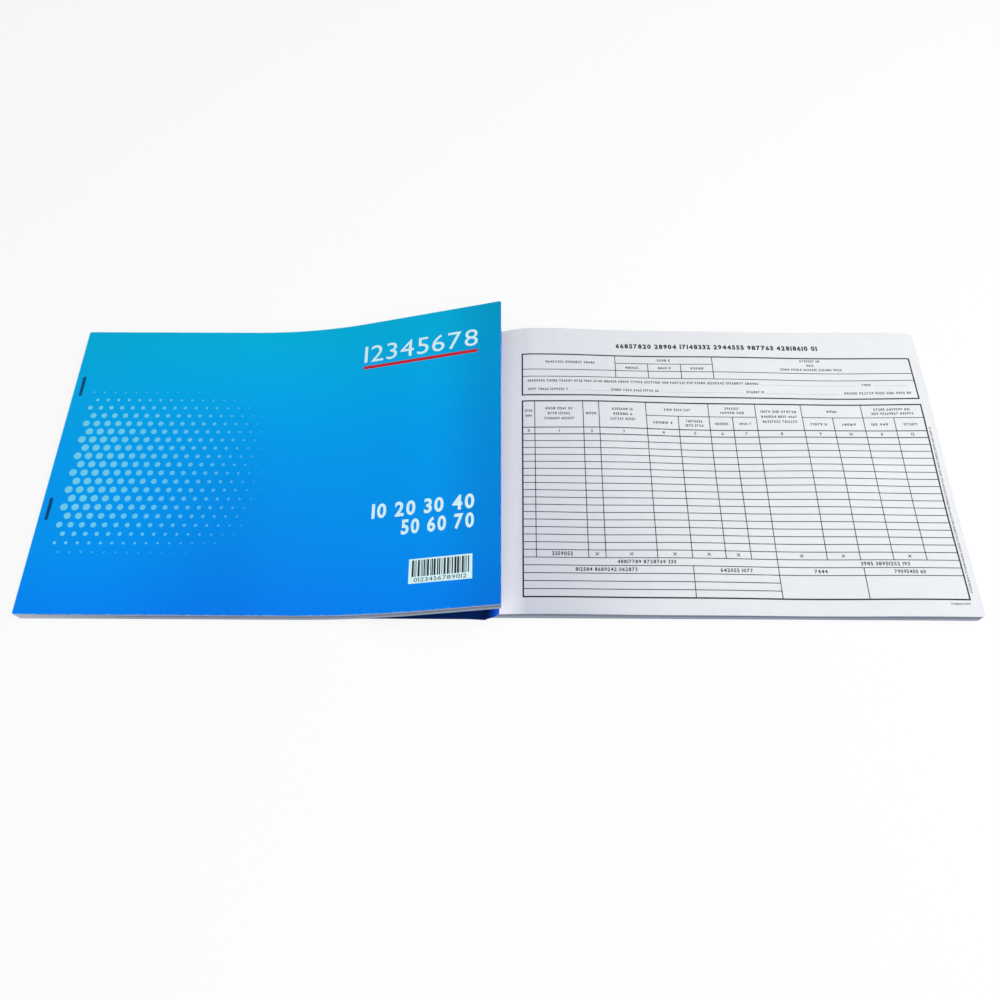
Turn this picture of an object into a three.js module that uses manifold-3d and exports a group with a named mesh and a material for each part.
// Dispatch note book: two landscape A4 stapled form books, one closed and one open.
// The closed book lies partly on the turned cover of the open one. Millimetres, +Z up,
// X along the long page edge, Y away from the reader, origin under the middle of the pair.

import * as THREE from 'three';
import { mergeVertices } from 'three/addons/utils/BufferGeometryUtils.js';
import Module from 'manifold-3d';

const wasm = await Module();
wasm.setup();

// Page and binding sizes
const PAGE_WIDTH = 297;
const PAGE_DEPTH = 210;
const COVER_CARD = 0.4;
const LEAF_PAPER = 0.15;
const LEAF_COUNT = 4;
const BLOCK_HEIGHT = 1.15;
const BLOCK_COUNT = 5;
const SHEET_GAP = 0.05;
const CREASE_INSET = 6.6;
const CREASE_GAP = 0.3;

// Staples, measured along the spine from the near edge of the book
const STAPLE_INSET = 5;
const STAPLE_CROWN = 13.9;
const STAPLE_MIDDLES = { near: 70.4, far: 163.9 };
const WIRE_DIAMETER = 0.6;
const WIRE_BEND = 0.5;
const BEND_STEPS = 3;
const WIRE_SIDES = 8;
const CLINCH_LENGTH = 3.6;
const WIRE_CLEARANCE = 0.08;

// The closed book's free end curls up: flat, then an arc, then straight.
// The arc starts nearer to the spine at the far edge, so the far corner lifts more.
const CURL_START_NEAR = 165;
const CURL_START_FAR = 120;
const CURL_RADIUS = 320;
const CURL_ANGLE = THREE.MathUtils.degToRad(15);
const CURL_STEPS = 8;

// The open book's sheets swell beside the spine, more at the far edge
const SWELL_NEAR = 1.2;
const SWELL_FAR = 4.6;
const SWELL_PEAK = 28;
const SWELL_END = 190;
const SWELL_STEPS = 12;
const SWELL_ROWS = 4;

// Where the two books lie
const CLOSED_REACH = 7;
const OPEN_SET_BACK = 2.2;
const REST_GAP = 0.05;

// The open book's cover folds back over the staples, drops past the spine and has slipped
// a little towards the reader
const FOLD_RISE = 0.3;
const FOLD_CROWN_GAP = 0.25;
const FOLD_BROW = 0.2;
const SHOULDER_DROP = 1;
const SPINE_CLEARANCE = 1;
const TURNED_COVER_SLIP = 2;
const COVER_LANDING = 13;
const FOLD_STEPS = 20;

// Shares that shape the drop: of the way out from the spine, and of the book's height
const SHOULDER_OUT = 0.5;
const FLANK_OUT = 1.6;
const FLANK_HEIGHT = 0.55;
const FOOT_OUT = 0.5;
const FOOT_HEIGHT = 0.16;

const COLOURS = {
  cover: 0x0f8fdc,
  page: 0xe6e9ee,
  leaf: 0xf0f2f4,
  back: 0x0b78c8,
  wire: 0x5b6470,
};

function material(kind) {
  const metal = kind === 'wire';
  const roughness = { cover: 0.35, back: 0.45, page: 0.85, leaf: 0.8, wire: 0.35 }[kind];
  return new THREE.MeshStandardMaterial({ color: COLOURS[kind], roughness, metalness: metal ? 1 : 0 });
}

// Heights of every layer above the book's underside, from the back cover up
function layerHeights() {
  const blocks = [];
  let height = COVER_CARD + SHEET_GAP;
  for (let index = 0; index < BLOCK_COUNT; index += 1) {
    blocks.push([height, height + BLOCK_HEIGHT]);
    height += BLOCK_HEIGHT + SHEET_GAP;
  }
  const leaves = [];
  for (let index = 0; index < LEAF_COUNT; index += 1) {
    leaves.push([height, height + LEAF_PAPER]);
    height += LEAF_PAPER + SHEET_GAP;
  }
  return { back: [0, COVER_CARD], blocks, leaves, cover: [height, height + COVER_CARD] };
}

const LAYERS = layerHeights();
const PANEL_START = CREASE_INSET + CREASE_GAP;
const BOOK_HEIGHT = LAYERS.cover[1];

// A closed sheet between a lower and an upper surface, over a grid of columns and rows.
// The point function gives the place of one grid corner at one height.
function loft([low, high], columns, rows, point) {
  const positions = [low, high].flatMap((height) => {
    const surface = [];
    for (let column = 0; column <= columns; column += 1) {
      for (let row = 0; row <= rows; row += 1) surface.push(...point(height, column, PAGE_DEPTH * row / rows));
    }
    return surface;
  });
  const surfaceSize = (columns + 1) * (rows + 1);
  const under = (column, row) => column * (rows + 1) + row;
  const over = (column, row) => surfaceSize + under(column, row);
  const index = [];
  const quad = (a, b, c, d) => index.push(a, b, c, a, c, d);
  for (let column = 0; column < columns; column += 1) {
    const next = column + 1;
    for (let row = 0; row < rows; row += 1) {
      quad(over(column, row), over(next, row), over(next, row + 1), over(column, row + 1));
      quad(under(column, row), under(column, row + 1), under(next, row + 1), under(next, row));
    }
    quad(under(column, 0), under(next, 0), over(next, 0), over(column, 0));
    quad(under(next, rows), under(column, rows), over(column, rows), over(next, rows));
  }
  for (let row = 0; row < rows; row += 1) {
    quad(under(0, row + 1), under(0, row), over(0, row), over(0, row + 1));
    quad(under(columns, row), under(columns, row + 1), over(columns, row + 1), over(columns, row));
  }
  const geometry = new THREE.BufferGeometry();
  geometry.setAttribute('position', new THREE.Float32BufferAttribute(positions, 3));
  geometry.setIndex(index);
  return geometry;
}

// A place on a curled sheet, side on. Column 0 is the sheet's bound end, the next ones run
// round the arc and the last is the free edge. Every sheet keeps its full length, so the
// inner ones reach as far as the outer ones.
function curledPoint(from, height, column, y) {
  if (column === 0) return [from, y, height];
  const start = THREE.MathUtils.lerp(CURL_START_NEAR, CURL_START_FAR, y / PAGE_DEPTH);
  const radius = CURL_RADIUS - height;
  const turn = CURL_ANGLE * Math.min((column - 1) / CURL_STEPS, 1);
  const straight = column > CURL_STEPS + 1 ? PAGE_WIDTH - start - radius * CURL_ANGLE : 0;
  const x = start + radius * Math.sin(turn) + straight * Math.cos(turn);
  return [x, y, CURL_RADIUS - radius * Math.cos(turn) + straight * Math.sin(turn)];
}

function curledLayer(from, heights) {
  return loft(heights, CURL_STEPS + 2, 1, (height, column, y) => curledPoint(from, height, column, y));
}

// How far the open book's sheets stand off their pressed height at one place on the page
function swell(x, y, height) {
  if (x <= CREASE_INSET || x >= SWELL_END) return 0;
  const peak = THREE.MathUtils.lerp(SWELL_NEAR, SWELL_FAR, y / PAGE_DEPTH);
  const rising = (x - CREASE_INSET) / (SWELL_PEAK - CREASE_INSET);
  const falling = (SWELL_END - x) / (SWELL_END - SWELL_PEAK);
  const share = x < SWELL_PEAK ? Math.sin(rising * Math.PI / 2) : THREE.MathUtils.smoothstep(falling, 0, 1);
  return peak * share * height / BOOK_HEIGHT;
}

// Page stations of the open book: the bound edge, the swelling in widening steps, the free edge
function swellStations(from) {
  const stations = from < CREASE_INSET ? [from, CREASE_INSET] : [];
  for (let step = 0; step <= SWELL_STEPS; step += 1) {
    stations.push(PANEL_START + (SWELL_END - PANEL_START) * (step / SWELL_STEPS) ** 1.6);
  }
  return [...stations, PAGE_WIDTH];
}

function swollenLayer(from, heights) {
  const stations = swellStations(from);
  return loft(heights, stations.length - 1, SWELL_ROWS, (height, column, y) => {
    const x = stations[column];
    return [x, y, height + swell(x, y, height)];
  });
}

// A flat strip of the binding edge, from the spine to the crease
function bindingStrip([low, high]) {
  const strip = new THREE.BoxGeometry(CREASE_INSET, PAGE_DEPTH, high - low);
  return strip.translate(CREASE_INSET / 2, PAGE_DEPTH / 2, (low + high) / 2);
}

function toSolid(geometry) {
  const plain = geometry.clone();
  plain.deleteAttribute('normal');
  plain.deleteAttribute('uv');
  const merged = mergeVertices(plain, 1e-4);
  return new wasm.Manifold(new wasm.Mesh({
    numProp: 3,
    vertProperties: new Float32Array(merged.attributes.position.array),
    triVerts: new Uint32Array(merged.index.array),
  }));
}

function toGeometry(solid) {
  const mesh = solid.getMesh();
  const geometry = new THREE.BufferGeometry();
  geometry.setAttribute('position', new THREE.BufferAttribute(mesh.vertProperties, 3));
  geometry.setIndex(new THREE.BufferAttribute(mesh.triVerts, 1));
  geometry.computeVertexNormals();
  return geometry;
}

function cut(geometry, tools) {
  let solid = toSolid(geometry);
  for (const tool of tools) solid = solid.subtract(toSolid(tool));
  return toGeometry(solid);
}

// Spine positions of the four legs, near and far leg of each staple
function legPlaces() {
  const places = [];
  for (const middle of Object.values(STAPLE_MIDDLES)) {
    places.push(middle - STAPLE_CROWN / 2 + WIRE_DIAMETER / 2, middle + STAPLE_CROWN / 2 - WIRE_DIAMETER / 2);
  }
  return places;
}

// Holes that the staple legs make through a layer of the binding edge
function legHoles([low, high]) {
  const width = WIRE_DIAMETER + 2 * WIRE_CLEARANCE;
  const tall = high - low + 2;
  return legPlaces().map((place) => {
    const hole = new THREE.BoxGeometry(width, width, tall);
    return hole.translate(STAPLE_INSET, place, (low + high) / 2);
  });
}

// Grooves that the bent leg ends press into the underside
function clinchGrooves() {
  const width = WIRE_DIAMETER + 2 * WIRE_CLEARANCE;
  const depth = 2 * (WIRE_DIAMETER + WIRE_CLEARANCE);
  const length = CLINCH_LENGTH + 2 * WIRE_CLEARANCE;
  return legPlaces().map((place, index) => {
    const inward = index % 2 === 0 ? 1 : -1;
    const middle = place + inward * (length - width) / 2;
    return new THREE.BoxGeometry(width, length, depth).translate(STAPLE_INSET, middle, 0);
  });
}

// A wire's middle line through straight runs and rounded corners
class WireRoute extends THREE.Curve {
  constructor(corners, bend) {
    super();
    this.points = [corners[0]];
    for (let index = 1; index < corners.length - 1; index += 1) {
      const corner = corners[index];
      const towards = (other) => other.clone().sub(corner).setLength(bend).add(corner);
      const [start, end] = [corners[index - 1], corners[index + 1]].map(towards);
      const arc = new THREE.QuadraticBezierCurve3(start, corner, end);
      this.points.push(...arc.getPoints(BEND_STEPS));
    }
    this.points.push(corners[corners.length - 1]);
  }

  get steps() {
    return this.points.length - 1;
  }

  getPoint(share) {
    const place = THREE.MathUtils.clamp(share, 0, 1) * this.steps;
    const index = Math.min(Math.floor(place), this.steps - 1);
    return this.points[index].clone().lerp(this.points[index + 1], place - index);
  }

  getUtoTmapping(share) {
    return share;
  }
}

// Staple wire: a crown over the cover, two legs through the book, two ends bent inwards
function stapleWire(middle) {
  const radius = WIRE_DIAMETER / 2;
  const top = BOOK_HEIGHT + radius;
  const half = STAPLE_CROWN / 2 - radius;
  const tip = half - CLINCH_LENGTH + radius;
  const at = (y, z) => new THREE.Vector3(STAPLE_INSET, middle + y, z);
  const leftHalf = [at(-tip, radius), at(-half, radius), at(-half, top)];
  const rightHalf = [at(half, top), at(half, radius), at(tip, radius)];
  const route = new WireRoute([...leftHalf, ...rightHalf], WIRE_BEND);
  const section = new THREE.Shape().absarc(0, 0, radius, 0, Math.PI * 2, false);
  return new THREE.ExtrudeGeometry(section, {
    steps: route.steps,
    curveSegments: WIRE_SIDES,
    bevelEnabled: false,
    extrudePath: route,
  });
}

// A side outline pushed across the page depth
function pushedOutline(outline) {
  const shape = new THREE.Shape(outline);
  const geometry = new THREE.ExtrudeGeometry(shape, { depth: PAGE_DEPTH, bevelEnabled: false });
  return geometry.rotateX(Math.PI / 2).translate(0, PAGE_DEPTH, 0);
}

// The open book's cover, side on: creased, over the staples, down past the spine, along the table
function turnedCoverLine() {
  const half = COVER_CARD / 2;
  const brow = BOOK_HEIGHT + WIRE_DIAMETER + FOLD_CROWN_GAP + half;
  const spineSide = -(SPINE_CLEARANCE + half);
  const at = (x, z) => new THREE.Vector3(x, z, 0);
  const fold = new THREE.CatmullRomCurve3([
    at(CREASE_INSET, BOOK_HEIGHT + FOLD_RISE),
    at(STAPLE_INSET, brow),
    at(STAPLE_INSET / 2, brow + FOLD_BROW),
    at(spineSide * SHOULDER_OUT, brow - SHOULDER_DROP),
    at(spineSide * FLANK_OUT, BOOK_HEIGHT * FLANK_HEIGHT),
    at(-COVER_LANDING * FOOT_OUT, BOOK_HEIGHT * FOOT_HEIGHT),
    at(-COVER_LANDING, half),
  ], false, 'centripetal');
  const flatLength = PAGE_WIDTH - CREASE_INSET - fold.getLength();
  return [...fold.getSpacedPoints(FOLD_STEPS), at(-COVER_LANDING - flatLength, half)];
}

// The card on both sides of that line, whose last stretch lies flat
function turnedCover() {
  const line = turnedCoverLine();
  const inner = [];
  const outer = [];
  line.forEach((point, index) => {
    const flat = index >= line.length - 2;
    const before = line[Math.max(index - 1, 0)];
    const after = line[Math.min(index + 1, line.length - 1)];
    const along = flat ? new THREE.Vector3(-1, 0, 0) : after.clone().sub(before).normalize();
    const aside = new THREE.Vector2(-along.y, along.x).multiplyScalar(COVER_CARD / 2);
    const middle = new THREE.Vector2(point.x, point.y);
    inner.push(middle.clone().add(aside));
    outer.push(middle.clone().sub(aside));
  });
  return pushedOutline([...outer, ...inner.reverse()]);
}

function addPiece(book, name, kind, geometry) {
  const mesh = new THREE.Mesh(geometry, material(kind));
  mesh.name = name;
  book.add(mesh);
}

// The stapled pad: back cover, blocks of sheets, turning leaves and the pinned binding edges
function stapledPad(book, state, layer) {
  const bound = (height) => cut(layer(0, height), legHoles(height));
  const grooves = clinchGrooves();
  addPiece(book, `${state}_back_cover`, 'back', cut(bound(LAYERS.back), grooves));
  LAYERS.blocks.forEach((height, index) => {
    const block = index === 0 ? cut(bound(height), grooves) : bound(height);
    addPiece(book, `${state}_sheet_block_${index + 1}`, 'page', block);
  });
  const leafEdges = [LAYERS.leaves[0][0], LAYERS.leaves[LEAF_COUNT - 1][1]];
  addPiece(book, `${state}_leaf_binding_edges`, 'page', cut(bindingStrip(leafEdges), legHoles(leafEdges)));
  LAYERS.leaves.forEach((height, index) => {
    addPiece(book, `${state}_leaf_${LEAF_COUNT - index}`, 'leaf', layer(PANEL_START, height));
  });
  const strip = cut(bindingStrip(LAYERS.cover), legHoles(LAYERS.cover));
  addPiece(book, `${state}_cover_binding_strip`, 'cover', strip);
  for (const [place, middle] of Object.entries(STAPLE_MIDDLES)) {
    addPiece(book, `${state}_staple_${place}`, 'wire', stapleWire(middle));
  }
}

function closedBook() {
  const book = new THREE.Group();
  stapledPad(book, 'closed', curledLayer);
  addPiece(book, 'closed_front_cover', 'cover', curledLayer(PANEL_START, LAYERS.cover));
  return book;
}

function openBook() {
  const book = new THREE.Group();
  stapledPad(book, 'open', swollenLayer);
  addPiece(book, 'open_front_cover', 'cover', turnedCover().translate(0, -TURNED_COVER_SLIP, 0));
  return book;
}

// How far the curled book reaches along the table, from its spine to its free end
function curledReach() {
  return curledPoint(0, 0, CURL_STEPS + 2, PAGE_DEPTH / 2)[0];
}

const closed = closedBook();
closed.position.set(CLOSED_REACH - curledReach(), 0, COVER_CARD + REST_GAP);

const open = openBook();
open.position.set(0, OPEN_SET_BACK, 0);

const noteBooks = new THREE.Group();
noteBooks.add(open, closed);
const leftEnd = closed.position.x;
const depth = PAGE_DEPTH + OPEN_SET_BACK;
noteBooks.position.set(-(leftEnd + PAGE_WIDTH) / 2, -depth / 2, 0);

export default noteBooks;
